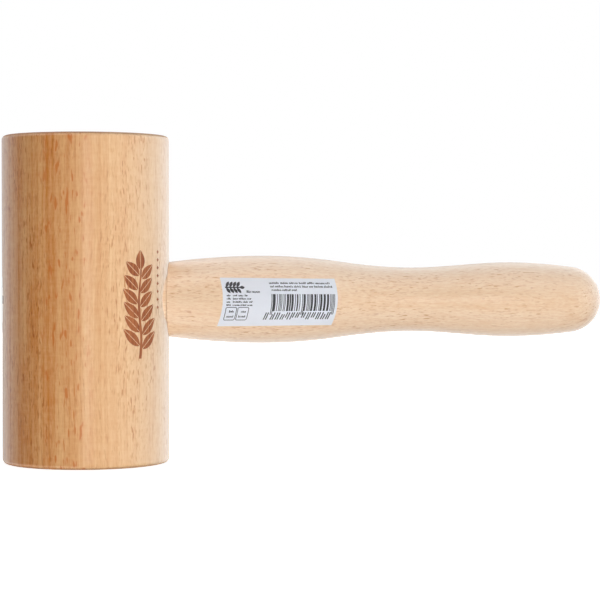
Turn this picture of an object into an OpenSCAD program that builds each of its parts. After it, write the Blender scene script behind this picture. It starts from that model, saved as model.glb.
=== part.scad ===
// Round wooden mallet: a turned beech head with a wedged through handle and a paper label.
// It stands on its lower striking face. The origin is the centre of that face,
// +Z runs up the head's axis and +X points to the free end of the handle.

/* [Head] */
// Diameter of the head
head_d = 90; // [80:1:100]
// Length of the head, from striking face to striking face
head_l = 176.5; // [140:0.5:200]
// Rounding of the head's two edges
head_edge_r = 2.5; // [1:0.5:5]

/* [Handle] */
// Length of the handle from its shoulder to its free end
handle_l = 233.5; // [215:0.5:300]
// Diameter at the square shoulder against the head
shoulder_d = 40.5; // [36:0.1:44]
// Diameter of the swelling next to the head
belly_d = 47.2; // [42:0.1:52]
// Diameter of the waist
neck_d = 34.4; // [28:0.1:38]
// Diameter of the swelling near the free end
bulb_d = 40.1; // [37:0.1:44]
// Radius of the ball shape that closes the free end
end_r = 17.7; // [15:0.1:18]

/* [Tenon and wedge] */
// Diameter of the hole through the head
bore_d = 30; // [24:0.5:34]
// Room for glue between tenon and hole, all round
glue_gap = 0.05; // [0.02:0.01:0.2]
// Thickness of the wedge at its outer end
wedge_t = 4.5; // [3:0.5:6]
// Depth that the wedge is driven in
wedge_l = 36; // [20:1:44]

/* [Label] */
// Length of the label along the handle
label_w = 61; // [40:0.5:70]
// Height of the label's end nearest the head, as seen from the front
label_h = 25.6; // [14:0.1:30]
// Distance from the shoulder to the middle of that end's corners
label_at = 27.5; // [10:0.5:40]
// Thickness of the paper
label_t = 0.2; // [0.1:0.05:0.5]

/* [Hidden] */
$fn = 96;

// The handle's axis crosses the head at half its length, and the grip's square shoulder
// touches the round head along one line.
axis_z = head_l / 2;
shoulder_x = head_d / 2;
tenon_r = bore_d / 2 - glue_gap;

// The grip's outline: distance from the shoulder, radius there, and slope of the radius.
shoulder_slope = 0.125;
fall_slope = -0.145;
cap_lean = 8;
cap_centre = handle_l - end_r;
belly_at = 0.217 * handle_l;
fall_at = 0.398 * handle_l;
neck_at = 0.561 * handle_l;
bulb_at = 0.785 * handle_l;
stations = [
    [0, shoulder_d / 2, shoulder_slope],
    [belly_at, belly_d / 2, 0],
    [fall_at, (belly_d + neck_d) / 4, fall_slope],
    [neck_at, neck_d / 2, 0],
    [bulb_at, bulb_d / 2, 0],
    [cap_centre + end_r * sin(cap_lean), end_r * cos(cap_lean), -tan(cap_lean)]
];
grip_steps = 60;
cap_steps = 14;

// The saw kerf that the wedge opens runs a little deeper than the wedge.
kerf_t = 1.2;
kerf_extra = 6;
wedge_tip_t = 0.8;

// The label was stuck on by hand: its ends bow towards the free end and lean a little,
// it narrows with the handle, and it sits slightly below the handle's middle.
label_bow = 2.5;
label_lean = 1.5;
label_taper = 1.2;
label_drop = 1.4;
label_lift = 0.03;
label_steps = 12;
beyond = 1;

// Radius of the grip at a distance s from the shoulder: a smooth curve through the stations.
function span_of(s, i = 0) =
    (i >= len(stations) - 2 || s <= stations[i + 1][0]) ? i : span_of(s, i + 1);
function blend_r(a, b, t) =
    a[1] * (2 * t ^ 3 - 3 * t ^ 2 + 1)
    + b[1] * (3 * t ^ 2 - 2 * t ^ 3)
    + (b[0] - a[0]) * (a[2] * (t ^ 3 - 2 * t ^ 2 + t) + b[2] * (t ^ 3 - t ^ 2));
function grip_r(s) =
    let (i = span_of(s), a = stations[i], b = stations[i + 1])
    blend_r(a, b, (s - a[0]) / (b[0] - a[0]));

// Turns a shape made along +Z from the shoulder so that it lies along the handle's axis.
module along_handle() {
    translate([shoulder_x, 0, axis_z]) rotate([0, 90, 0]) children();
}

// The head's round body, without edges or bore, used to trim what ends flush with it.
module head_round() {
    cylinder(h = head_l, r = head_d / 2);
}

module head_half_section() {
    r = head_d / 2;
    square([r - head_edge_r, head_l]);
    translate([0, head_edge_r]) square([r, head_l - 2 * head_edge_r]);
    for (z = [head_edge_r, head_l - head_edge_r])
        translate([r - head_edge_r, z]) circle(r = head_edge_r);
}

module head() {
    color("#d8a468")
    difference() {
        rotate_extrude() head_half_section();
        translate([-head_d, 0, axis_z]) rotate([0, 90, 0]) cylinder(h = 2 * head_d, d = bore_d);
    }
}

// The grip's turned outline, from the shoulder to the ball-shaped end.
module grip() {
    join_s = stations[len(stations) - 1][0];
    curve = [for (i = [0:grip_steps]) let (s = join_s * i / grip_steps) [grip_r(s), s]];
    cap = [
        for (i = [1:cap_steps])
        let (a = cap_lean + (90 - cap_lean) * i / cap_steps)
        [i == cap_steps ? 0 : end_r * cos(a), cap_centre + end_r * sin(a)]
    ];
    along_handle() rotate_extrude() polygon(concat([[0, 0]], curve, cap));
}

// The tenon goes right through the head and is trimmed flush with its far side.
module tenon() {
    intersection() {
        along_handle() translate([0, 0, -head_d - beyond]) cylinder(h = head_d, r = tenon_r);
        head_round();
    }
    along_handle() translate([0, 0, -shoulder_x]) cylinder(h = shoulder_x + beyond, r = tenon_r);
}

// The wedge's tapered plate, level with the handle's axis, before it is trimmed.
module wedge_plate() {
    taper = (wedge_t - wedge_tip_t) / wedge_l;
    outer_t = wedge_t + taper * beyond;
    translate([-shoulder_x, tenon_r + beyond, axis_z]) rotate([90, 0, 0])
        linear_extrude(height = 2 * (tenon_r + beyond))
            polygon([
                [-beyond, -outer_t / 2],
                [wedge_l, -wedge_tip_t / 2],
                [wedge_l, wedge_tip_t / 2],
                [-beyond, outer_t / 2]
            ]);
}

module handle() {
    color("#ecc9a0")
    difference() {
        union() {
            grip();
            tenon();
        }
        wedge_plate();
        translate([-shoulder_x - beyond, -tenon_r - beyond, axis_z - kerf_t / 2])
            cube([wedge_l + kerf_extra + beyond, 2 * (tenon_r + beyond), kerf_t]);
    }
}

module wedge() {
    color("#8a5a34")
    intersection() {
        wedge_plate();
        tenon();
    }
}

// Points along one end of the label, from its lower corner to its upper one.
function label_end(height) = [
    for (i = [0:label_steps])
    let (v = 2 * i / label_steps - 1)
    [label_bow * (1 - v ^ 2) + v * label_lean / 2, v * height / 2]
];
function reversed(points) = [for (i = [len(points) - 1:-1:0]) points[i]];

// A thin sleeve of paper on the grip, cut to the label's outline.
module label() {
    from_s = label_at - label_lean;
    length = label_w + label_bow + 2 * label_lean;
    inside = [
        for (i = [0:label_steps])
        let (s = from_s + length * i / label_steps)
        [grip_r(s) + label_lift, s]
    ];
    outside = [for (p = reversed(inside)) p + [label_t, 0]];
    far_end = [for (p = label_end(label_h - label_taper)) p + [label_w, 0]];
    color("#e8ecf2")
    intersection() {
        along_handle() rotate_extrude() polygon(concat(inside, outside));
        translate([shoulder_x + label_at, 0, axis_z - label_drop]) rotate([90, 0, 0])
            linear_extrude(height = belly_d) polygon(concat(label_end(label_h), reversed(far_end)));
    }
}

head();
handle();
wedge();
label();
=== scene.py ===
"""A round wooden mallet: lacquered beech head and handle, wedge, paper label and a burned leaf sprig."""

import math
import random

import bmesh
import bpy
import numpy as np
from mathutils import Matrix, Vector


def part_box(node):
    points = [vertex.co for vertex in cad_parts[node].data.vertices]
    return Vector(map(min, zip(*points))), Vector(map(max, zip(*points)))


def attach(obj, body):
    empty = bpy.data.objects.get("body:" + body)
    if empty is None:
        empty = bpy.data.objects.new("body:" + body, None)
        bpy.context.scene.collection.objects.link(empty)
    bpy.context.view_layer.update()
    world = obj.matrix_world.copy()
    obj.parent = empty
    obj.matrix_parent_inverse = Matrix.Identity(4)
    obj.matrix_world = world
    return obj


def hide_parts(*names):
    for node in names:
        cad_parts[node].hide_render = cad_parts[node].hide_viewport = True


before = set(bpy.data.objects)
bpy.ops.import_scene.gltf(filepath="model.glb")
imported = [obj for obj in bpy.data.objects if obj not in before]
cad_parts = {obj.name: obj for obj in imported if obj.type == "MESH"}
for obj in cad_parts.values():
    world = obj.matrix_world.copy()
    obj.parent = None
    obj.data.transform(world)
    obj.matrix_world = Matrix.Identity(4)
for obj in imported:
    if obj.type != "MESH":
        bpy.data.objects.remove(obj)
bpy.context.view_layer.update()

# ------------------------------------------------------------------ sizes, in metres, read from the frame
MM = 0.001
head_low, head_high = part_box("head")
wedge_low, wedge_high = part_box("wedge")
HEAD_R = (head_high.x - head_low.x) / 2
HEAD_L = head_high.z - head_low.z
AXIS_Z = (head_low.z + head_high.z) / 2
SHOULDER_X = head_high.x
TENON_R = wedge_high.y
BORE_R = TENON_R + 0.05 * MM

# Finishing details that are too fine for the frame
HEAD_EDGE = 2.5 * MM
SHOULDER_EASE = 0.4 * MM
TENON_SUNK = 0.12 * MM
WEDGE_SUNK = 0.04 * MM
KERF_T = 1.2 * MM
KERF_EXTRA = 6 * MM


# ------------------------------------------------------------------ mesh helpers
def new_piece(name, verts, faces):
    """A smooth-shaded mesh object with all its faces turned outwards."""
    mesh = bpy.data.meshes.new(name)
    mesh.from_pydata([tuple(v) for v in verts], [], faces)
    bm = bmesh.new()
    bm.from_mesh(mesh)
    bmesh.ops.recalc_face_normals(bm, faces=bm.faces)
    bm.to_mesh(mesh)
    bm.free()
    mesh.shade_smooth()
    piece = bpy.data.objects.new(name, mesh)
    bpy.context.scene.collection.objects.link(piece)
    return piece


def crisp(piece, degrees=35):
    """Keeps edges sharper than this angle crisp under smooth shading."""
    piece.data.shade_smooth()
    piece.data.set_sharp_from_angle(angle=math.radians(degrees))
    return piece


def lathe(name, outline, segments, place, closed=False):
    """A turned solid. outline holds (distance, radius) pairs, and place puts a point of it in the frame.
    A closed outline makes a ring. Any other runs from pole to pole."""
    verts = []
    rings = []
    for distance, radius in outline:
        count = segments if radius > 1e-9 else 1
        rings.append(list(range(len(verts), len(verts) + count)))
        verts += [place(distance, radius, math.tau * k / count) for k in range(count)]
    faces = []
    ends = rings[1:] + rings[:1] if closed else rings[1:]
    for low, high in zip(rings, ends):
        for k in range(segments):
            n = (k + 1) % segments
            corners = [low[k % len(low)], low[n % len(low)], high[n % len(high)], high[k % len(high)]]
            faces.append(list(dict.fromkeys(corners)))
    return new_piece(name, verts, faces)


def plate(name, outline, half_width):
    """A flat plate through the handle's axis. outline holds (x, height above the axis) pairs."""
    count = len(outline)
    verts = [(x, y, AXIS_Z + z) for y in (-half_width, half_width) for x, z in outline]
    faces = [list(range(count)), list(range(2 * count - 1, count - 1, -1))]
    for k in range(count):
        n = (k + 1) % count
        faces.append([k, n, count + n, count + k])
    return new_piece(name, verts, faces)


def carve(piece, tool, operation):
    """Cuts piece with tool, or keeps what they share, and removes the tool."""
    cut = piece.modifiers.new("carve", "BOOLEAN")
    cut.operation = operation
    cut.solver = "EXACT"
    cut.object = tool
    graph = bpy.context.evaluated_depsgraph_get()
    carved = bpy.data.meshes.new_from_object(piece.evaluated_get(graph))
    piece.modifiers.clear()
    piece.data = carved
    bpy.data.objects.remove(tool)
    return crisp(piece)


def sheet_data(rows, columns, surface, thickness):
    """Verts and faces of a thin closed sheet. surface(u, v, height) gives its points, u and v from 0 to 1."""
    verts = []
    for height in (0.0, thickness):
        for i in range(rows + 1):
            verts += [surface(i / rows, j / columns, height) for j in range(columns + 1)]
    stride = (rows + 1) * (columns + 1)

    def at(layer, i, j):
        return layer * stride + i * (columns + 1) + j

    faces = []
    for layer in (0, 1):
        for i in range(rows):
            for j in range(columns):
                quad = [at(layer, i, j), at(layer, i + 1, j), at(layer, i + 1, j + 1), at(layer, i, j + 1)]
                faces.append(quad if layer else quad[::-1])
    rim = [(i, 0) for i in range(rows)] + [(rows, j) for j in range(columns)]
    rim += [(i, columns) for i in range(rows, 0, -1)] + [(0, j) for j in range(columns, 0, -1)]
    for a, b in zip(rim, rim[1:] + rim[:1]):
        faces.append([at(0, *a), at(0, *b), at(1, *b), at(1, *a)])
    return verts, faces


def joined(name, parts):
    """One piece from several sets of verts and faces."""
    verts = []
    faces = []
    for part_verts, part_faces in parts:
        faces += [[len(verts) + i for i in face] for face in part_faces]
        verts += part_verts
    return crisp(new_piece(name, verts, faces))


# ------------------------------------------------------------------ turned parts
def smooth_outline(points, steps):
    """A smooth curve through outline points that ends square on the axis, with steps to each span."""
    points = [2 * points[0] - points[1]] + points + [points[-2] * (1, -1)]
    gaps = [np.linalg.norm(b - a) for a, b in zip(points, points[1:])]
    slopes = [(b - a) / gap for a, b, gap in zip(points, points[1:], gaps)]
    found = []
    for i in range(1, len(points) - 2):
        gap = gaps[i]
        leave = (slopes[i - 1] * gap + slopes[i] * gaps[i - 1]) / (gap + gaps[i - 1])
        arrive = (slopes[i] * gaps[i + 1] + slopes[i + 1] * gap) / (gap + gaps[i + 1])
        for t in np.arange(steps) / steps:
            found.append(
                (2 * t**3 - 3 * t**2 + 1) * points[i] + (t**3 - 2 * t**2 + t) * gap * leave
                + (3 * t**2 - 2 * t**3) * points[i + 1] + (t**3 - t**2) * gap * arrive
            )
    return found + [points[-2]]


def cad_grip():
    """The outline of the CAD grip, from the shoulder to the pole of its end."""
    rings = {}
    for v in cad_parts["handle"].data.vertices:
        x = round(v.co.x, 6)
        if x >= SHOULDER_X - 1e-6:
            rings[x] = max(rings.get(x, 0.0), math.hypot(v.co.y, v.co.z - AXIS_Z))
    points = [np.array((x, rings[x])) for x in sorted(rings)]
    points[-1][1] = 0.0
    return smooth_outline(points, 3)


GRIP = cad_grip()


def grip_r(x):
    """The grip's radius at a place along the handle."""
    return float(np.interp(x, [p[0] for p in GRIP], [p[1] for p in GRIP]))


def upright(distance, radius, angle):
    """A point at this distance up from the head's lower face."""
    return radius * math.cos(angle), radius * math.sin(angle), head_low.z + distance


def sideways(distance, radius, angle):
    """A point at this distance along X, round the handle's axis."""
    return distance, radius * math.cos(angle), AXIS_Z + radius * math.sin(angle)


def flush_with_head(sunk):
    """Like sideways, but whatever lies past the head's far side ends on it, sunk by this much."""
    def place(distance, radius, angle):
        x, y, z = sideways(distance, radius, angle)
        if x <= head_low.x + 1e-6:
            x = -math.sqrt((HEAD_R - sunk) ** 2 - y**2)
        return x, y, z
    return place


def make_head():
    """The turned head with its rounded edges and the hole for the tenon."""
    turns = [math.radians(10 * k) for k in range(10)]
    edge = [(HEAD_EDGE * (1 - math.sin(a)), HEAD_R - HEAD_EDGE * (1 - math.cos(a))) for a in turns[::-1]]
    face = [(0.0, r * MM) for r in (0, 6, 12, 18, 24, 30, 36, 40, 42)]
    side_ends = np.linspace(HEAD_EDGE + 0.6 * MM, HEAD_L - HEAD_EDGE - 0.6 * MM, 71)
    lower = face + edge
    upper = [(HEAD_L - distance, radius) for distance, radius in reversed(lower)]
    head = lathe("turned_head", lower + [(z, HEAD_R) for z in side_ends] + upper, 192, upright)
    reach = 2 * HEAD_R
    drilled = [(-reach, 0.0), (-reach, BORE_R), (reach, BORE_R), (reach, 0.0)]
    return carve(head, lathe("drill", drilled, 96, sideways), "DIFFERENCE")


def wedge_outline(past, with_kerf):
    """The wedge's tapered side view, run past the tenon's end. With the kerf, the saw cut that takes it."""
    verts = [v.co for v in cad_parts["wedge"].data.vertices]
    tip = max(abs(v.z - AXIS_Z) for v in verts if v.x > wedge_high.x - 1e-5)
    thick = wedge_high.z - AXIS_Z
    slope = (thick - tip) / (wedge_high.x - wedge_low.x)
    top = [(wedge_low.x - past, thick + slope * past), (wedge_high.x, tip)]
    if with_kerf:
        top = [top[0], (wedge_high.x - (KERF_T / 2 - tip) / slope, KERF_T / 2)]
        top.append((wedge_high.x + KERF_EXTRA, KERF_T / 2))
    return top + [(x, -z) for x, z in reversed(top)]


def tenon_end():
    return [(head_low.x, TENON_R * k / 12) for k in range(13)]


def make_handle():
    """The turned handle: tenon, square shoulder, grip, and the saw cut in the tenon's end."""
    turns = [math.pi / 2 * k / 4 for k in range(5)]
    shoulder_r = grip_r(SHOULDER_X + SHOULDER_EASE)
    ease = [
        (SHOULDER_X + SHOULDER_EASE * (1 - math.sin(a)), shoulder_r - SHOULDER_EASE * (1 - math.cos(a)))
        for a in reversed(turns)
    ]
    tenon = tenon_end() + [(x * MM, TENON_R) for x in (-30, -10, 10, 30, 44.9)]
    shoulder = [(SHOULDER_X, r) for r in (TENON_R, 17 * MM, 19.5 * MM)]
    grip = [(x, max(r, 0.0)) for x, r in GRIP if x > SHOULDER_X + 1.5 * SHOULDER_EASE]
    handle = lathe("turned_handle", tenon + shoulder + ease + grip, 160, flush_with_head(TENON_SUNK))
    slot = plate("saw_cut", wedge_outline(2 * MM, True), 2 * TENON_R)
    return carve(handle, slot, "DIFFERENCE")


def make_wedge():
    """The wedge, cut to the tenon's round end."""
    rod = lathe("wedge_piece", tenon_end() + [(0.0, TENON_R), (0.0, 0.0)], 160, flush_with_head(WEDGE_SUNK))
    return carve(rod, plate("taper", wedge_outline(2 * MM, False), 2 * TENON_R), "INTERSECT")


def make_glue_line():
    """The thin line of glue that shows round the tenon's end."""
    inner = TENON_R - 0.1 * MM
    outer = BORE_R + 0.15 * MM

    def place(distance, radius, angle):
        x, y, z = sideways(0.0, radius, angle)
        return -math.sqrt(HEAD_R**2 - y**2) + distance, y, z

    section = [(0.02 * MM, inner + 0.1 * MM), (0.02 * MM, outer - 0.1 * MM), (0.1 * MM, outer)]
    section += [(1.0 * MM, outer), (1.0 * MM, inner), (0.1 * MM, inner)]
    return crisp(lathe("glue_line", section, 160, place, closed=True))


# ------------------------------------------------------------------ label and its print
LABEL_W = 61 * MM
LABEL_H = 25.9 * MM
LABEL_AT = 27.5 * MM
LABEL_BOW = 2.5 * MM
LABEL_LEAN = 1.5 * MM
LABEL_TAPER = 1.2 * MM
LABEL_DROP = 1.0 * MM
PAPER_T = 0.16 * MM
INK_T = 0.02 * MM


def on_label(s, t, height):
    """A point over the label: s along it from the end nearest the head, t down from its top edge."""
    v = 1 - 2 * t / LABEL_H
    x = SHOULDER_X + LABEL_AT + s + LABEL_BOW * (1 - v * v) + LABEL_LEAN * v / 2
    z = v * (LABEL_H - LABEL_TAPER * s / LABEL_W) / 2 - LABEL_DROP
    near_end = max(0.0, 1 - s / (5 * MM))
    loose = 0.05 * MM + 0.35 * MM * near_end**2
    radius = grip_r(x) + loose + height
    return x, -math.sqrt(radius**2 - z**2), AXIS_Z + z


def make_label():
    def surface(u, v, height):
        return on_label(u * LABEL_W, v * LABEL_H, height)
    return joined("paper_label", [sheet_data(96, 36, surface, PAPER_T)])


def printed_line(points, width, closed=False):
    """A line of ink of one width through (s, t) points in millimetres."""
    points = [np.array(p, float) for p in points]
    if closed:
        points.append(points[0])
    path = [points[0]]
    for a, b in zip(points, points[1:]):
        steps = max(1, math.ceil(np.linalg.norm(b - a) / 0.9))
        path += [a + (b - a) * k / steps for k in range(1, steps + 1)]
    last = len(path) - 1
    sides = []
    for i, point in enumerate(path):
        before = path[last - 1] if closed and i == 0 else path[max(i - 1, 0)]
        after = path[1] if closed and i == last else path[min(i + 1, last)]
        run = (after - before) / np.linalg.norm(after - before)
        across = np.array((-run[1], run[0])) * width / 2
        sides.append((point - across, point + across))

    def surface(u, v, height):
        low, high = sides[round(u * last)]
        s, t = low + (high - low) * v
        return on_label(s * MM, t * MM, PAPER_T - 0.01 * MM + height)
    return sheet_data(last, 1, surface, INK_T + 0.01 * MM)


def printed_bar(s, t, width, height, slant=0.0):
    """A filled bar of ink, its top left corner at (s, t), in millimetres."""
    return printed_line([(s + width / 2, t), (s + width / 2 - slant, t + height)], width)


def printed_words(dice, s, s_end, t, height):
    """A line of small upright strokes in word-long groups, which stands for small print."""
    parts = []
    while s < s_end:
        word_end = min(s + dice.uniform(1.6, 5.2), s_end)
        while s < word_end:
            tall = height * dice.choice((1.0, 0.72, 0.72, 0.66))
            parts.append(printed_bar(s, t + height - tall, 0.36, tall))
            if dice.random() < 0.75:
                low = t + height - (tall if dice.random() < 0.5 else 0.36)
                parts.append(printed_bar(s + 0.22, low, 0.34, 0.36))
            s += dice.choice((0.46, 0.56, 0.64))
        s += 0.5
    return parts


def printed_leaf(s, t, length, width, turn):
    """A small filled leaf from its stalk end at (s, t), turned from the label's long way."""
    steps = 8
    run = np.array((math.cos(turn), math.sin(turn)))
    across = np.array((-run[1], run[0]))

    def surface(u, v, height):
        half = max(0.02, width / 2 * math.sin(math.pi * u) ** 0.8)
        point = np.array((s, t)) + run * length * u + across * half * (2 * v - 1)
        return on_label(point[0] * MM, point[1] * MM, PAPER_T - 0.01 * MM + height)
    return sheet_data(steps, 2, surface, INK_T + 0.01 * MM)


def printed_box(s, t, width, height, corner, line):
    """A rounded outline."""
    points = []
    for k, (cs, ct) in enumerate(((1, 0), (1, 1), (0, 1), (0, 0))):
        centre_s = s + (width - corner if cs else corner)
        centre_t = t + (height - corner if ct else corner)
        for step in range(5):
            a = math.radians(-90 + 90 * k + 22.5 * step)
            points.append((centre_s + corner * math.cos(a), centre_t + corner * math.sin(a)))
    return printed_line(points, line, closed=True)


def make_emblem():
    """A small leaf sprig that lies along the label."""
    parts = [printed_line([(1.6, 5.1), (9.6, 5.1)], 0.75)]
    for k in range(4):
        s = 2.2 + 1.9 * k
        parts.append(printed_leaf(s, 4.9, 3.5, 1.6, -0.95))
        parts.append(printed_leaf(s, 5.3, 3.5, 1.6, 0.95))
    parts.append(printed_leaf(9.3, 5.1, 2.8, 1.7, 0.0))
    return parts


def make_small_print(dice):
    """Rows of strokes and two rounded boxes, placed in mm over the label."""
    parts = printed_words(dice, 12.8, 20.1, 6.7, 1.25)
    for k, s_end in enumerate((13.2, 14.7, 15.4, 16.1)):
        t = 8.9 + 1.7 * k
        parts += printed_words(dice, 2.1, 4.0, t, 1.0)
        parts += printed_words(dice, 5.4, s_end, t, 1.0)
    for t, s, s_end in ((2.0, 25.5, 57.4), (3.9, 25.7, 58.4), (5.8, 26.2, 39.3)):
        parts += printed_words(dice, s, s_end, t, 1.1)
    for s in (2.1, 8.5):
        parts.append(printed_box(s, 15.8, 5.7, 6.8, 0.7, 0.36))
        parts += printed_words(dice, s + 1.9, s + 4.3, 17.3, 1.3)
        parts += printed_words(dice, s + 1.0, s + 4.7, 20.1, 1.1)
    return parts


def make_bars(dice):
    """A random pattern of upright bars that encodes nothing, with a row of slanted strokes under it."""
    parts = []
    first, last, top = 25.9, 59.6, 8.6
    cells = 95
    unit = (last - first) / cells
    long_bar, short_bar = 11.3, 9.3
    guards = (0, 2, 46, 48, 92, 94)
    cell = 0
    while cell < cells:
        if cell in guards:
            parts.append(printed_bar(first + cell * unit, top, 1.15 * unit, long_bar))
            cell += 1
            continue
        wide = dice.choice((1, 1, 2, 3))
        room = min([g for g in guards if g > cell] + [cells]) - cell - 1
        wide = min(wide, room)
        if wide > 0 and cell not in (1, 47, 93):
            parts.append(printed_bar(first + cell * unit, top, (wide + 0.15) * unit, short_bar))
        cell += max(1, wide) + dice.choice((1, 1, 2))
        cell = min([g for g in guards if g > cell - 3 and g <= cell] + [cell])
    row_s, row_t, pitch, full, low_mark = 23.2, 18.6, 2.62, 3.9, 2.9
    for k in range(13):
        s = row_s + pitch * k + (0.9 if k else 0) + (0.6 if k > 6 else 0)
        for step in range(2):
            tall = dice.choice((full, full, low_mark))
            low = row_t + dice.choice((0.0, full - tall))
            parts.append(printed_bar(s + 0.5 + 1.1 * step, low, 0.62, tall, slant=0.7))
    return parts


def make_print():
    dice = random.Random(4)
    return joined("label_print", make_emblem() + make_small_print(dice) + make_bars(dice))


# ------------------------------------------------------------------ burned leaf sprig
MARK_ANGLE = math.radians(45)
MARK_T = 0.04 * MM
# The sprig's stem, in mm: its foot, its length, and how far it sways from side to side
STEM_LOW = -30.6
STEM_L = 47.0
STEM_SWAY = 0.8


def on_side(arc, rise, height):
    """A point over the head's side: arc round it from the mark's middle, rise above the handle's axis."""
    angle = MARK_ANGLE + arc * MM / HEAD_R
    radius = HEAD_R - 0.02 * MM + height
    return radius * math.sin(angle), -radius * math.cos(angle), AXIS_Z + rise * MM


def burned_half_leaf(arc, rise, length, width, turn, side, gap):
    """Half a leaf beside its midrib, from its stalk end, turned up from the horizontal."""
    run = np.array((math.cos(turn), math.sin(turn)))
    across = np.array((-run[1], run[0])) * side

    def surface(u, v, height):
        bulge = max(0.0, width / 2 * math.sin(math.pi * u**0.85) ** 0.85 - gap)
        reach = gap + 0.02 + bulge * v
        point = np.array((arc, rise)) + run * length * u + across * reach
        return on_side(point[0], point[1], height)
    return sheet_data(14, 3, surface, MARK_T)


def burned_leaf(arc, rise, length, width, turn):
    return [burned_half_leaf(arc, rise, length, width, turn, side, 0.15) for side in (-1, 1)]


def stem_arc(u):
    """Where the middle of the stem is at a share of its length, as an arc round the head."""
    return STEM_SWAY * math.sin(2.4 * math.pi * u)


def burned_stem():
    def surface(u, v, height):
        half = 0.95 - 0.45 * u
        return on_side(stem_arc(u) + half * (2 * v - 1), STEM_LOW + STEM_L * u, height)
    return sheet_data(48, 2, surface, MARK_T)


def burned_diamond(arc, rise, half):
    def surface(u, v, height):
        return on_side(arc + half * (u + v - 1), rise + half * (u - v), height)
    return sheet_data(2, 2, surface, MARK_T)


def make_mark():
    """A leaf sprig with a leaf at its tip, and a column of small diamonds to its right."""
    parts = [burned_stem()]
    leaf_w = 5.6
    for k in range(6):
        rise = -25.5 + 7.4 * k
        arc = stem_arc((rise - STEM_LOW) / STEM_L)
        length = 13.6 - 0.5 * k
        parts += burned_leaf(arc + 0.9, rise, length, leaf_w, math.radians(42))
        parts += burned_leaf(arc - 0.9, rise + 1.6, length, leaf_w, math.radians(138))
    parts += burned_leaf(0.5, 16.2, 10.4, 6.0, math.radians(92))
    for k in range(8):
        parts.append(burned_diamond(14.6, -3.8 + 4.2 * k, 1.05))
    return joined("burned_mark", parts)


# ------------------------------------------------------------------ material helpers
def add(tree, kind, inputs=None, **settings):
    """A node of this kind. Inputs are sockets to link or values to set."""
    made = tree.nodes.new(kind)
    for key, value in settings.items():
        setattr(made, key, value)
    for key, value in (inputs or {}).items():
        if isinstance(value, bpy.types.NodeSocket):
            tree.links.new(value, made.inputs[key])
        else:
            made.inputs[key].default_value = value
    return made


def calc(tree, operation, a, b=0.0, clamp=False):
    return add(tree, "ShaderNodeMath", {0: a, 1: b}, operation=operation, use_clamp=clamp).outputs[0]


def ramp_to(tree, value, low, high, to_low=0.0, to_high=1.0):
    """Value's smooth rise from to_low to to_high as it goes from low to high."""
    inputs = {"Value": value, "From Min": low, "From Max": high, "To Min": to_low, "To Max": to_high}
    return add(tree, "ShaderNodeMapRange", inputs, interpolation_type="SMOOTHSTEP").outputs["Result"]


def blend_colours(tree, share, a, b, how="MIX"):
    made = add(tree, "ShaderNodeMix", data_type="RGBA", blend_type=how)
    for socket, value in zip((made.inputs[0], made.inputs[6], made.inputs[7]), (share, a, b)):
        if isinstance(value, bpy.types.NodeSocket):
            tree.links.new(value, socket)
        else:
            socket.default_value = value
    return made.outputs[2]


def noise(tree, where, detail=2.0, rough=0.5, scale=1.0):
    inputs = {"Vector": where, "Scale": scale, "Detail": detail, "Roughness": rough}
    return add(tree, "ShaderNodeTexNoise", inputs).outputs[0]


def stretched(tree, parts, sizes):
    """A vector of three distances, each divided by the size of one feature that way."""
    scaled = [calc(tree, "MULTIPLY", part, 1 / size) for part, size in zip(parts, sizes)]
    return add(tree, "ShaderNodeCombineXYZ", {k: scaled[k] for k in range(3)}).outputs[0]


def millimetres(tree):
    """The point's own x, y and z in the frame, in millimetres."""
    place = add(tree, "ShaderNodeTexCoord").outputs["Object"]
    scaled = add(tree, "ShaderNodeVectorMath", {0: place, "Scale": 1000.0}, operation="SCALE").outputs[0]
    return list(add(tree, "ShaderNodeSeparateXYZ", {0: scaled}).outputs)


def new_material(name):
    material = bpy.data.materials.new(name)
    material.use_nodes = True
    material.node_tree.nodes.clear()
    return material, material.node_tree


def shaded(tree, colour, roughness, bump=None, bump_mm=0.02, **constants):
    """Ends a material in one Principled shader. Constants are set on its own sockets."""
    inputs = {"Base Color": colour, "Roughness": roughness}
    if bump is not None:
        heights = {"Height": bump, "Distance": bump_mm * MM, "Strength": 1.0}
        inputs["Normal"] = add(tree, "ShaderNodeBump", heights).outputs[0]
    for key, value in constants.items():
        inputs[key.replace("_", " ").title().replace("Ior", "IOR")] = value
    shader = add(tree, "ShaderNodeBsdfPrincipled", inputs)
    add(tree, "ShaderNodeOutputMaterial", {"Surface": shader.outputs[0]})


def colour(red, green, blue):
    """An sRGB colour, 0 to 255, as the linear colour that a shader takes."""
    found = []
    for value in (red, green, blue):
        v = value / 255
        found.append(v / 12.92 if v <= 0.04045 else ((v + 0.055) / 1.055) ** 2.4)
    return (*found, 1.0)


# ------------------------------------------------------------------ wood
# A slow drift that keeps the rings from being true circles: its sizes and its full swing, in mm
DRIFT_SIZES = (40.0, 40.0, 90.0)
DRIFT_MM = 4.8
# How far each pattern is moved round the pith, in mm, so that none follows another
LINE_SHIFT = 300.0
FLECK_SHIFT = 700.0
SPOT_SHIFT = 1100.0
# How much the tone bands bend the rings, and how sharply each ring ends
RING_BEND = 1.5
RING_POWER = 3.0
# The share of the lines' depth where the lean starts. On the head this lean is painted shade: the grain lines
# are fainter on its right side and full on its left
LINES_AT_SHADE_AND_TONE_LEAN = 0.35
# Where the noise of the patches turns flecks on, and the share of them left between patches
PATCH_RANGE = (0.36, 0.62)
PATCH_LEAST = 0.3
# How squarely a surface faces out as its flecks go from fewest to all
FACING_RANGE = (0.1, 0.6)
SPOT_FADE_MM = 8.0
END_PORE_MM = (0.35, 0.35, 3.0)
END_PORE_RANGE = (0.3, 0.7)
FIBRE_ROUGH = 0.16
END_ROUGH = 0.1
FIBRE_HEIGHT = 0.8
FLECK_DEPTH = 0.5
COAT_ROUGH = 0.2
COAT_IOR = 1.5


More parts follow.
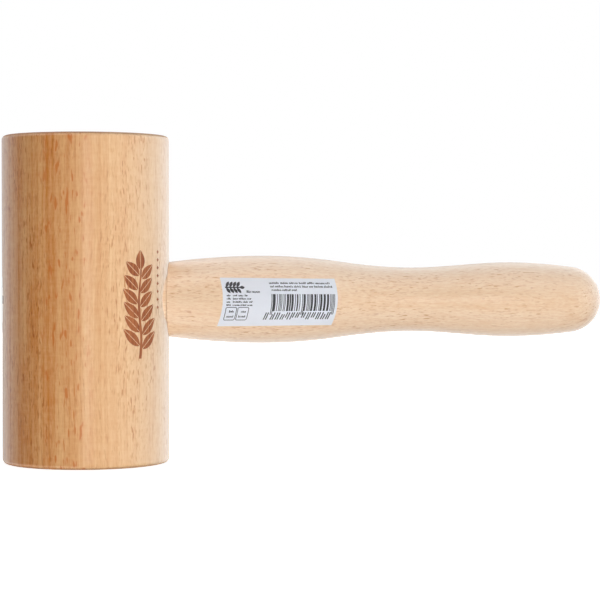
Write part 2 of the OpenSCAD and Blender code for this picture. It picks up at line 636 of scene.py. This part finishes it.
def grain(tree, look):
    """Distances out from the pith, round it and along the grain, in mm, for a plank cut at that pith."""
    x, y, z = millimetres(tree)
    first, second, run = (x, y, z) if look["along"] == "z" else (y, z, x)
    run = calc(tree, "ADD", run, look["start"])
    drift = noise(tree, stretched(tree, (first, second, run), DRIFT_SIZES), 1.0)
    drift = calc(tree, "MULTIPLY", calc(tree, "SUBTRACT", drift, 0.5), DRIFT_MM)
    pith = look["pith"]
    first = calc(tree, "ADD", calc(tree, "SUBTRACT", first, pith[0]), drift)
    second = calc(tree, "ADD", calc(tree, "SUBTRACT", second, pith[1]), drift)
    squares = calc(tree, "ADD", calc(tree, "MULTIPLY", first, first), calc(tree, "MULTIPLY", second, second))
    out = calc(tree, "SQRT", squares)
    turn = calc(tree, "ARCTAN2", first, calc(tree, "MULTIPLY", second, -1.0))
    around = calc(tree, "MULTIPLY", turn, math.hypot(*pith))
    return out, around, run


def fine_noise(tree, places, sizes, detail=2.0):
    """A noise with features of these sizes in mm."""
    return noise(tree, stretched(tree, places, sizes), detail, 0.6)


def dashes(tree, places, sizes, low, high):
    """Sparse dashes where a noise with features of these sizes in mm climbs from low to high."""
    return ramp_to(tree, fine_noise(tree, places, sizes, 1.0), low, high)


def shifted(tree, places, by):
    """The same places moved round the pith, so that a second pattern doesn't follow the first."""
    return places[0], calc(tree, "ADD", places[1], by), places[2]


def sum_of(tree, parts):
    """Adds up (value, depth) pairs, each value counted from its middle, 0.5."""
    total = None
    for value, depth in parts:
        part = calc(tree, "MULTIPLY", calc(tree, "SUBTRACT", value, 0.5), depth)
        total = part if total is None else calc(tree, "ADD", total, part)
    return total


def wood_tone(tree, look, places, here_x, fibres):
    """The wood's tone, from 0 at its palest to 1 at its deepest."""
    bands = fine_noise(tree, places, look["band_mm"])
    lines = fine_noise(tree, shifted(tree, places, LINE_SHIFT), look["line_mm"])
    streaks = fine_noise(tree, places, look["streak_mm"], 3.0)
    ripples = fine_noise(tree, places, look["ripple_mm"])

    bend = calc(tree, "MULTIPLY", bands, RING_BEND)
    ring = calc(tree, "ADD", calc(tree, "DIVIDE", places[0], look["ring_mm"]), bend)
    ring = calc(tree, "POWER", calc(tree, "FRACT", ring), RING_POWER)
    # On the head this lean is painted shade: the tone deepens and the grain lines darken from its right side
    # to its left. On the handle it changes the tone and the lines along its length
    lean_from, lean_to, lean_depth = look["lean"]
    lean = ramp_to(tree, here_x, lean_from, lean_to)

    tone = sum_of(tree, (
        (bands, look["band_depth"]), (streaks, look["streak_depth"]),
        (fibres, look["fibre_depth"]), (ripples, look["ripple_depth"]),
    ))
    lines = calc(tree, "MULTIPLY", calc(tree, "SUBTRACT", lines, 0.5), look["line_depth"])
    lines = calc(tree, "MULTIPLY", lines, ramp_to(tree, here_x, lean_from, lean_to, LINES_AT_SHADE_AND_TONE_LEAN, 1.0))
    tone = calc(tree, "ADD", tone, lines)
    tone = calc(tree, "ADD", tone, calc(tree, "MULTIPLY", ring, look["ring_depth"]))
    tone = calc(tree, "ADD", tone, calc(tree, "MULTIPLY", lean, lean_depth))
    return calc(tree, "ADD", tone, look["tone"], clamp=True)


def with_flecks(tree, look, places, outwards, flecks, base):
    """The base colour darkened by pores and flecks, in patches, mostly where the surface faces out."""
    pores = dashes(tree, places, look["pore_mm"], *look["pore_range"])
    patch = noise(tree, stretched(tree, places, look["patch_mm"]), 1.0)
    patch = ramp_to(tree, patch, *PATCH_RANGE, PATCH_LEAST, 1.0)
    across = calc(tree, "ABSOLUTE", outwards)
    patch = calc(tree, "MULTIPLY", patch, ramp_to(tree, across, *FACING_RANGE, look["plain"], 1.0))
    marks = calc(tree, "ADD", calc(tree, "MULTIPLY", pores, look["pore_depth"]), flecks)
    dark = calc(tree, "MULTIPLY", calc(tree, "MULTIPLY", marks, patch), look["fleck_depth"], clamp=True)
    return blend_colours(tree, dark, base, look["fleck"], "MULTIPLY")


def with_spots(tree, look, places, here_x, base):
    """The base colour with orange spots between two places along X."""
    spots = dashes(tree, shifted(tree, places, SPOT_SHIFT), look["spot_mm"], *look["spot_range"])
    low, high = look["spot_zone"]
    starts = ramp_to(tree, here_x, low - SPOT_FADE_MM, low)
    ends = ramp_to(tree, here_x, high + SPOT_FADE_MM, high)
    spots = calc(tree, "MULTIPLY", spots, calc(tree, "MULTIPLY", starts, ends))
    return blend_colours(tree, calc(tree, "MULTIPLY", spots, look["spot_depth"]), base, look["spot"])


def wood_material(name, look):
    """Solid beech: rings, tone bands, fibres, pores and ray flecks that run right through the piece."""
    material, tree = new_material(name)
    places = grain(tree, look)
    here_x = millimetres(tree)[0]
    facing = add(tree, "ShaderNodeNewGeometry").outputs["Normal"]
    facing = dict(zip("xyz", add(tree, "ShaderNodeSeparateXYZ", {0: facing}).outputs))
    fibres = fine_noise(tree, places, look["fibre_mm"])
    flecks = dashes(tree, shifted(tree, places, FLECK_SHIFT), look["fleck_mm"], *look["fleck_range"])

    base = blend_colours(tree, wood_tone(tree, look, places, here_x, fibres), look["pale"], look["deep"])
    base = with_flecks(tree, look, places, facing[look["out"]], flecks, base)
    base = with_spots(tree, look, places, here_x, base)
    end = ramp_to(tree, calc(tree, "ABSOLUTE", facing[look["along"]]), *look["end_range"])
    pores = noise(tree, stretched(tree, places, END_PORE_MM), 1.0)
    pores = ramp_to(tree, pores, *END_PORE_RANGE, *look["end_depth"])
    base = blend_colours(tree, calc(tree, "MULTIPLY", end, pores), base, look["end"])

    rough = calc(tree, "ADD", calc(tree, "MULTIPLY", fibres, FIBRE_ROUGH), look["rough"])
    rough = calc(tree, "ADD", rough, calc(tree, "MULTIPLY", end, END_ROUGH))
    raised = calc(tree, "MULTIPLY", fibres, FIBRE_HEIGHT)
    relief = calc(tree, "SUBTRACT", raised, calc(tree, "MULTIPLY", flecks, FLECK_DEPTH))
    shaded(
        tree, base, rough, relief, look["relief_mm"], coat_weight=look["coat"],
        coat_roughness=COAT_ROUGH, coat_ior=COAT_IOR, specular_ior_level=look["shine"],
    )
    return material


# The looks of each wood. along and out name the frame's axes along the grain and out of the piece. pith is
# where the rings' centre lies on the other two axes, and start moves the cut along the grain. Three _mm sizes
# run out from the pith, round it and along the grain. ring_mm is the rings' spacing. The lean holds the two
# places along X between which the tone changes, and by how much; on the head it is painted shade, darker on
# its left side. A _range is where a noise, or the way that the surface faces, turns a mark on.
HEAD_WOOD = {
    "along": "z", "out": "x", "pith": (-200.0, 60.0), "start": 4900.0,
    # The lean below is painted shade: the head grows darker, with stronger grain lines, from its right side
    # to its left
    "tone": 0.16, "lean": (38.0, -22.0, 0.48),
    "pale": colour(246, 203, 146), "deep": colour(203, 118, 28),
    "band_mm": (9.0, 16.0, 260.0), "band_depth": 0.34,
    "line_mm": (4.4, 4.4, 240.0), "line_depth": 0.85,
    "streak_mm": (1.0, 1.0, 34.0), "streak_depth": 0.56,
    "fibre_mm": (0.7, 0.7, 5.0), "fibre_depth": 0.56,
    "ripple_mm": (7.0, 7.0, 1.6), "ripple_depth": 0.28,
    "ring_mm": 3.4, "ring_depth": 0.16,
    "pore_mm": (0.8, 0.8, 4.2), "pore_range": (0.54, 0.7), "pore_depth": 0.55,
    "fleck_mm": (0.85, 0.85, 6.0), "fleck_range": (0.6, 0.7), "fleck_depth": 0.95,
    "fleck": (0.67, 0.4, 0.1, 1.0), "plain": 0.3, "patch_mm": (14.0, 14.0, 60.0),
    "spot_mm": (1.9, 1.9, 8.0), "spot_range": (0.6, 0.7), "spot_depth": 0.85,
    "spot": colour(206, 112, 34), "spot_zone": (-15.0, 2.0),
    "end": colour(150, 98, 56), "end_range": (0.45, 0.8), "end_depth": (0.4, 0.8),
    "rough": 0.34, "coat": 0.6, "shine": 0.5, "relief_mm": 0.008,
}
HANDLE_WOOD = {
    "along": "x", "out": "y", "pith": (160.0, 60.0), "start": 0.0,
    "tone": 0.4, "lean": (190.0, 50.0, -0.16),
    "pale": colour(255, 224, 190), "deep": colour(237, 190, 144),
    "band_mm": (14.0, 8.0, 200.0), "band_depth": 0.7,
    "line_mm": (2.6, 2.6, 120.0), "line_depth": 0.8,
    "streak_mm": (0.8, 0.8, 20.0), "streak_depth": 0.9,
    "fibre_mm": (0.7, 0.7, 3.6), "fibre_depth": 1.25,
    "ripple_mm": (3.0, 3.0, 3.0), "ripple_depth": 0.3,
    "ring_mm": 3.6, "ring_depth": 0.1,
    "pore_mm": (0.75, 0.75, 3.6), "pore_range": (0.53, 0.7), "pore_depth": 0.6,
    "fleck_mm": (1.0, 1.0, 5.0), "fleck_range": (0.62, 0.73), "fleck_depth": 1.0,
    "fleck": (0.74, 0.57, 0.4, 1.0), "plain": 0.75, "patch_mm": (12.0, 12.0, 30.0),
    "spot_mm": (3.4, 3.4, 7.0), "spot_range": (0.72, 0.8), "spot_depth": 0.5,
    "spot": colour(208, 146, 108), "spot_zone": (40.0, 270.0),
    "end": colour(204, 156, 112), "end_range": (0.6, 1.0), "end_depth": (0.1, 0.4),
    "rough": 0.36, "coat": 0.6, "shine": 0.5, "relief_mm": 0.008,
}
WEDGE_WOOD = dict(
    HANDLE_WOOD, pith=(90.0, 120.0), tone=0.7,
    pale=colour(196, 146, 102), deep=colour(150, 98, 60), end=colour(120, 76, 46),
)
# The two struck faces and their rounded rims are end grain, which drinks the lacquer
HEAD_END_WOOD = dict(HEAD_WOOD, coat=0.1, shine=0.3, rough=0.5)


def mark_material():
    material, tree = new_material("burned_wood")
    places = millimetres(tree)
    streaks = noise(tree, stretched(tree, places, (1.1, 1.1, 16.0)), 3.0, 0.6)
    fibres = noise(tree, stretched(tree, places, (0.3, 0.3, 3.0)), 2.0)
    tone = calc(tree, "ADD", ramp_to(tree, streaks, 0.3, 0.7), calc(tree, "MULTIPLY", fibres, 0.35))
    tone = calc(tree, "SUBTRACT", tone, 0.17, clamp=True)
    base = blend_colours(tree, tone, colour(152, 74, 32), colour(194, 112, 58))
    rough = calc(tree, "ADD", calc(tree, "MULTIPLY", fibres, 0.2), 0.6)
    shaded(tree, base, rough, fibres, 0.03, specular_ior_level=0.25)
    return material


def paper_material():
    material, tree = new_material("label_paper")
    places = millimetres(tree)
    cloud = noise(tree, stretched(tree, places, (9.0, 9.0, 9.0)), 2.0)
    fibres = noise(tree, stretched(tree, places, (0.5, 0.5, 0.5)), 3.0)
    tone = calc(tree, "ADD", calc(tree, "MULTIPLY", cloud, 0.6), calc(tree, "MULTIPLY", fibres, 0.4))
    base = blend_colours(tree, tone, colour(231, 235, 245), colour(245, 247, 254))
    rough = calc(tree, "ADD", calc(tree, "MULTIPLY", fibres, 0.15), 0.42)
    shaded(tree, base, rough, fibres, 0.01)
    return material


def ink_material():
    material, tree = new_material("label_ink")
    places = millimetres(tree)
    wear = noise(tree, stretched(tree, places, (0.8, 0.8, 0.8)), 3.0)
    base = blend_colours(tree, wear, colour(10, 11, 15), colour(34, 35, 44))
    shaded(tree, base, calc(tree, "ADD", calc(tree, "MULTIPLY", wear, 0.2), 0.35))
    return material


def glue_material():
    material, tree = new_material("dried_glue")
    places = millimetres(tree)
    cloud = noise(tree, stretched(tree, places, (2.0, 1.2, 1.2)), 3.0)
    base = blend_colours(tree, cloud, colour(120, 78, 44), colour(176, 124, 76))
    shaded(tree, base, calc(tree, "ADD", calc(tree, "MULTIPLY", cloud, 0.2), 0.25))
    return material


# ------------------------------------------------------------------ studio
FLOOR_HALF = 6.0
FLOOR_BELOW = 0.2 * MM
FLOOR_T = 10 * MM
# How far from the origin the floor's own glow starts and stops rising, in mm, and from what to what
GLOW_FROM_MM = 400.0
GLOW_TO_MM = 1500.0
GLOW_NEAR = 0.86
GLOW_FAR = 1.0


def make_floor():
    """A plain white floor that only the camera sees. It takes faint shadows and stops no light."""
    material, tree = new_material("pale_floor")
    speckle = noise(tree, stretched(tree, millimetres(tree), (60.0, 60.0, 60.0)), 2.0)
    base = blend_colours(tree, speckle, (0.78, 0.78, 0.78, 1.0), (0.82, 0.82, 0.82, 1.0))
    x, y, z = millimetres(tree)
    far = calc(tree, "SQRT", calc(tree, "ADD", calc(tree, "MULTIPLY", x, x), calc(tree, "MULTIPLY", y, y)))
    glow = ramp_to(tree, far, GLOW_FROM_MM, GLOW_TO_MM, GLOW_NEAR, GLOW_FAR)
    shaded(
        tree, base, 0.9, emission_color=(1.0, 1.0, 1.0, 1.0), emission_strength=glow, specular_ior_level=0.0,
    )

    def surface(u, v, height):
        return (2 * u - 1) * FLOOR_HALF, (2 * v - 1) * FLOOR_HALF, head_low.z - FLOOR_BELOW - height

    floor = new_piece("floor", *sheet_data(24, 24, surface, FLOOR_T))
    floor.data.materials.append(material)
    floor.visible_diffuse = False
    floor.visible_glossy = False
    floor.visible_shadow = False


# How bright the studio's walls are in the lacquer, as (place, brightness) pairs. The place is a share
# of a full turn from straight behind, round by the left, the front and the right.
WALLS = (
    (0.0, 0.9), (0.06, 0.85), (0.12, 1.2), (0.18, 1.05), (0.22, 0.45), (0.26, 0.15), (0.31, 0.06),
    (0.39, 0.22), (0.47, 0.62), (0.53, 1.05), (0.57, 1.85), (0.61, 2.55), (0.75, 3.25), (0.87, 2.7),
    (0.94, 1.8), (1.0, 0.9),
)
CEILING = 3.0
GROUND = 1.6
BRIGHTEST = 4.0
# How steeply a mirrored ray climbs or falls as the walls give way to the ceiling and the ground
CEILING_RISE = (0.3, 0.85)
GROUND_FALL = (-0.1, -0.5)


def make_world():
    """White surroundings for the camera, and walls for the lacquer to mirror. They light nothing."""
    world = bpy.data.worlds.new("studio")
    bpy.context.scene.world = world
    world.use_nodes = True
    world.cycles_visibility.diffuse = False
    tree = world.node_tree
    tree.nodes.clear()
    looking = add(tree, "ShaderNodeTexCoord").outputs["Generated"]
    x, y, z = add(tree, "ShaderNodeSeparateXYZ", {0: looking}).outputs
    turn = calc(tree, "ARCTAN2", x, calc(tree, "MULTIPLY", y, -1.0))
    turn = calc(tree, "ADD", calc(tree, "DIVIDE", turn, math.tau), 0.5)
    walls = add(tree, "ShaderNodeValToRGB", {0: turn})
    stops = walls.color_ramp.elements
    stops.remove(stops[1])
    for place, level in WALLS[1:]:
        stops.new(place)
    for stop, (place, level) in zip(stops, WALLS):
        stop.position = place
        stop.color = (level / BRIGHTEST, level / BRIGHTEST, level / BRIGHTEST, 1.0)
    level = CEILING / BRIGHTEST
    lit = blend_colours(tree, ramp_to(tree, z, *CEILING_RISE), walls.outputs[0], (level, level, level, 1.0))
    level = GROUND / BRIGHTEST
    lit = blend_colours(tree, ramp_to(tree, z, *GROUND_FALL), lit, (level, level, level, 1.0))
    lit = add(tree, "ShaderNodeBackground", {"Color": lit, "Strength": BRIGHTEST})
    seen = add(tree, "ShaderNodeBackground", {"Color": (1.0, 1.0, 1.0, 1.0), "Strength": 1.0})
    direct = add(tree, "ShaderNodeLightPath").outputs["Is Camera Ray"]
    both = add(tree, "ShaderNodeMixShader", {0: direct, 1: lit.outputs[0], 2: seen.outputs[0]})
    add(tree, "ShaderNodeOutputWorld", {"Surface": both.outputs[0]})


# Soft lamps: how far round from the front towards the right and how far up, in degrees, then their width
# and height in metres, and their share of full light
LAMPS = {
    "key": (5, 0, 0.4, 0.7, 0.645),
    "top": (20, 88, 1.6, 1.6, 0.09),
    "below": (0, -55, 1.4, 0.8, 0.27),
    "right": (95, 8, 1.0, 1.4, 0.08),
    "left": (-100, 8, 1.0, 1.4, 0.06),
    "back_left": (-145, 15, 1.6, 1.4, 0.5),
    "back_right": (150, 15, 1.6, 1.4, 0.22),
}
LAMP_FAR = 1.7
LAMPS_AIM_X = 0.1


def make_lamps():
    """Each lamp gives a surface that faces it its share of full light. The lacquer doesn't mirror them."""
    middle = Vector((LAMPS_AIM_X, 0.0, AXIS_Z))
    for name, (turn, height, wide, tall, share) in LAMPS.items():
        data = bpy.data.lights.new(name, "AREA")
        data.shape = "RECTANGLE"
        data.size = wide
        data.size_y = tall
        data.energy = share * math.pi**2 * LAMP_FAR**2
        flat = math.cos(math.radians(height))
        away = Vector((
            flat * math.sin(math.radians(turn)), -flat * math.cos(math.radians(turn)),
            math.sin(math.radians(height)),
        ))
        lamp = bpy.data.objects.new(name, data)
        lamp.location = middle + away * LAMP_FAR
        lamp.rotation_euler = away.to_track_quat("Z", "Y").to_euler()
        lamp.visible_glossy = False
        bpy.context.scene.collection.objects.link(lamp)


LENS_MM = 121.8
SENSOR_MM = 36.0
CAMERA_X = 0.116
CAMERA_FAR = 1.10
CAMERA_RISE = 0.0237
CAMERA_TILT = 0.0219


def make_camera():
    """Looks along +Y and a little down, from in front of the object."""
    data = bpy.data.cameras.new("camera")
    data.lens = LENS_MM
    data.sensor_width = SENSOR_MM
    data.clip_end = 50.0
    camera = bpy.data.objects.new("camera", data)
    camera.location = (CAMERA_X, -CAMERA_FAR, AXIS_Z + CAMERA_RISE)
    camera.rotation_euler = (math.pi / 2 - CAMERA_TILT, 0.0, 0.0)
    bpy.context.scene.collection.objects.link(camera)
    bpy.context.scene.camera = camera


# ------------------------------------------------------------------ assembly
def dress(piece, material, node=None):
    """Gives a piece its material, and ties it to the frame."""
    piece.data.materials.clear()
    piece.data.materials.append(material)
    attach(piece, "root")
    if node:
        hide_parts(node)


def dress_ends(piece, material):
    """Gives the piece's two flat ends and their rims a material of their own."""
    piece.data.materials.append(material)
    for face in piece.data.polygons:
        face.material_index = 1 if abs(face.normal.z) > 0.5 else 0


make_camera()
make_world()
make_lamps()
make_floor()
head = make_head()
dress(head, wood_material("head_beech", HEAD_WOOD), "head")
dress_ends(head, wood_material("end_beech", HEAD_END_WOOD))
handle = make_handle()
# The head mirrors no handle and takes no coloured light from it
handle.visible_glossy = False
handle.visible_diffuse = False
dress(handle, wood_material("handle_beech", HANDLE_WOOD), "handle")
dress(make_wedge(), wood_material("wedge_beech", WEDGE_WOOD), "wedge")
dress(make_glue_line(), glue_material())
dress(make_label(), paper_material(), "label")
dress(make_print(), ink_material())
dress(make_mark(), mark_material())

scene = bpy.context.scene
scene.view_settings.view_transform = "Standard"
scene.view_settings.look = "None"
